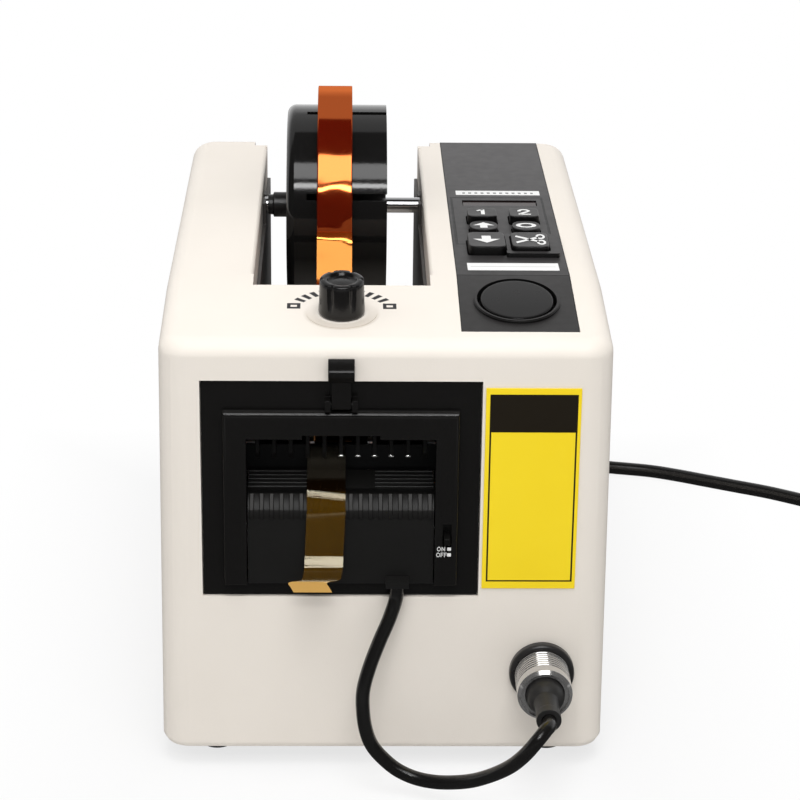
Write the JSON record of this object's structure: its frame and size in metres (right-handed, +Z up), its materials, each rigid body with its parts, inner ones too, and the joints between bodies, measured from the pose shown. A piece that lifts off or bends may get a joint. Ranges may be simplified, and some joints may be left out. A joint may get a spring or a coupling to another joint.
{
  "type": "electric tape dispenser",
  "caption": "Desktop electric tape dispenser: cream housing with an open reel, key panel, motor-fed cutter outlet, cable plug and coiled mains cord.",
  "frame": {"origin": "on the table, under the middle of the housing's length and width", "axes": "+X to the right seen from the front, +Y from the front face to the back, +Z up"},
  "size_m": [0.3323, 0.3424, 0.1863],
  "materials": {
    "cream_housing": "satin moulded plastic",
    "grey_panel": "satin",
    "key_plastic": "satin",
    "black_gloss": "glossy",
    "black_matte": "matte",
    "drum_plastic": "satin black",
    "dark_plate": "dark satin",
    "rubber": "matte",
    "chrome": "polished",
    "steel": "brushed",
    "base_metal": "zinc grey",
    "brass": "satin",
    "tape_film": "clear amber film",
    "tape_wound": "wound amber film",
    "core_card": "card",
    "yellow_plate": "printed film",
    "display": "smoked red",
    "gear_plastic": "natural acetal",
    "board": "circuit board",
    "lamination": "varnished steel"
  },
  "bodies": {
    "machine": {"main_housing": "cream_housing", "base_plate": "base_metal", "rubber_feet": "rubber", "base_screws": "steel", "axle_holder_left": "dark_plate", "axle_holder_right": "dark_plate", "tape_lead": "tape_film", "tape_tail": "tape_film", "keypad_panel": "grey_panel", "button_panel": "grey_panel", "display_window": "display", "switch_boards": "board", "speed_potentiometer": "base_metal", "info_plate": "yellow_plate", "outlet_frame": "black_gloss", "outlet_bezel": "black_gloss", "guide_comb": "black_matte", "outlet_tray": "black_gloss", "side_plate_left": "steel", "side_plate_right": "steel", "feed_motor": "steel", "cutter_motor": "steel", "fixed_blade": "steel", "connector_socket": "black_matte", "plug_boot": "rubber", "front_cable": "rubber", "cord_gland": "rubber", "power_cord": "rubber", "power_cord_coil": "rubber", "cord_tie": "black_matte", "power_plug": "black_matte", "power_transformer": "lamination", "control_board": "board", "switch_body": "black_matte"},
    "axle": {"reel_axle": "chrome", "axle_collar": "black_matte"},
    "reel": {"reel_drum": "drum_plastic", "tape_core": "core_card", "tape_roll": "tape_wound"},
    "knob": {"speed_knob": "black_matte"},
    "key_cm": {"cm_key": "key_plastic"},
    "key_mm": {"mm_key": "key_plastic"},
    "key_up": {"up_key": "key_plastic"},
    "key_set": {"set_key": "key_plastic"},
    "key_down": {"down_key": "key_plastic"},
    "key_cut": {"cut_key": "key_plastic"},
    "start": {"start_button": "key_plastic"},
    "latch": {"latch_lever": "black_gloss"},
    "sensor": {"sensor_switch": "black_matte"},
    "ring": {"coupling_ring": "chrome"},
    "rocker": {"rocker_switch": "black_gloss"},
    "feed_lower": {"lower_roller": "rubber", "lower_shaft": "steel"},
    "feed_upper": {"upper_roller": "rubber", "upper_shaft": "steel"},
    "idler": {"idler_gear": "gear_plastic"},
    "feed_drive": {"feed_pinion": "brass"},
    "blade": {"blade_carrier": "steel", "moving_blade": "steel"},
    "cutter_drive": {"cutter_pinion": "brass"}
  },
  "joints": [
    {"name": "reel_lift", "type": "slide", "parent": "machine", "child": "axle", "axis": [0, 0, 1], "range_m": [0, 0.03], "deforming": ["tape_lead"]},
    {"name": "reel_spin", "type": "hinge", "parent": "axle", "child": "reel", "pos_m": [-0.01375, 0.0435, 0.144], "axis": [1, 0, 0], "continuous": true},
    {"name": "knob_turn", "type": "hinge", "parent": "machine", "child": "knob", "pos_m": [-0.01375, -0.085, 0.14787], "axis": [0, -0.108, 0.9942], "range_deg": [-140, 140]},
    {"name": "cm_press", "type": "slide", "parent": "machine", "child": "key_cm", "axis": [0, 0, -1], "range_m": [0, 0.001], "stiffness_N_per_m": 600},
    {"name": "mm_press", "type": "slide", "parent": "machine", "child": "key_mm", "axis": [0, 0, -1], "range_m": [0, 0.001], "stiffness_N_per_m": 600},
    {"name": "up_press", "type": "slide", "parent": "machine", "child": "key_up", "axis": [0, 0, -1], "range_m": [0, 0.001], "stiffness_N_per_m": 600},
    {"name": "set_press", "type": "slide", "parent": "machine", "child": "key_set", "axis": [0, 0, -1], "range_m": [0, 0.001], "stiffness_N_per_m": 600},
    {"name": "down_press", "type": "slide", "parent": "machine", "child": "key_down", "axis": [0, 0, -1], "range_m": [0, 0.001], "stiffness_N_per_m": 600},
    {"name": "cut_press", "type": "slide", "parent": "machine", "child": "key_cut", "axis": [0, 0, -1], "range_m": [0, 0.001], "stiffness_N_per_m": 600},
    {"name": "start_press", "type": "slide", "parent": "machine", "child": "start", "axis": [0, 0.108, -0.9942], "range_m": [0, 0.002], "stiffness_N_per_m": 600},
    {"name": "latch_pull", "type": "hinge", "parent": "machine", "child": "latch", "pos_m": [-0.01375, -0.1079, 0.1262], "axis": [1, 0, 0], "range_deg": [0, 25], "stiffness_Nm_per_rad": 0.05},
    {"name": "sensor_slide", "type": "slide", "parent": "machine", "child": "sensor", "axis": [0, 0, 1], "range_m": [0, 0.003]},
    {"name": "ring_turn", "type": "hinge", "parent": "machine", "child": "ring", "pos_m": [0.0505, -0.1165, 0.0346], "axis": [0, -1, 0], "range_deg": [0, 270]},
    {"name": "rocker_tilt", "type": "hinge", "parent": "machine", "child": "rocker", "pos_m": [0.048, 0.1045, 0.035], "axis": [1, 0, 0], "range_deg": [0, 16]},
    {"name": "feed_turn", "type": "hinge", "parent": "machine", "child": "feed_lower", "pos_m": [-0.01375, -0.0795, 0.0999], "axis": [1, 0, 0], "continuous": true},
    {"name": "press_roller_turn", "type": "hinge", "parent": "machine", "child": "feed_upper", "pos_m": [-0.01375, -0.0795, 0.1141], "axis": [1, 0, 0], "continuous": true},
    {"name": "idler_turn", "type": "hinge", "parent": "machine", "child": "idler", "pos_m": [-0.01375, -0.08209, 0.08522], "axis": [1, 0, 0], "continuous": true},
    {"name": "feed_pinion_turn", "type": "hinge", "parent": "machine", "child": "feed_drive", "pos_m": [-0.01375, -0.08661, 0.07402], "axis": [1, 0, 0], "continuous": true},
    {"name": "blade_stroke", "type": "slide", "parent": "machine", "child": "blade", "axis": [0, 0, -1], "range_m": [0, 0.005]},
    {"name": "cutter_pinion_turn", "type": "hinge", "parent": "machine", "child": "cutter_drive", "pos_m": [-0.01375, -0.08661, 0.07402], "axis": [1, 0, 0], "range_deg": [0, 68]}
  ],
  "couplings": [
    {"joint": "press_roller_turn", "follows": "feed_turn", "ratio": -1},
    {"joint": "idler_turn", "follows": "feed_turn", "ratio": -0.90909},
    {"joint": "feed_pinion_turn", "follows": "feed_turn", "ratio": 1.6667},
    {"joint": "cutter_pinion_turn", "follows": "blade_stroke", "rad_per_m": 234.74}
  ]
}
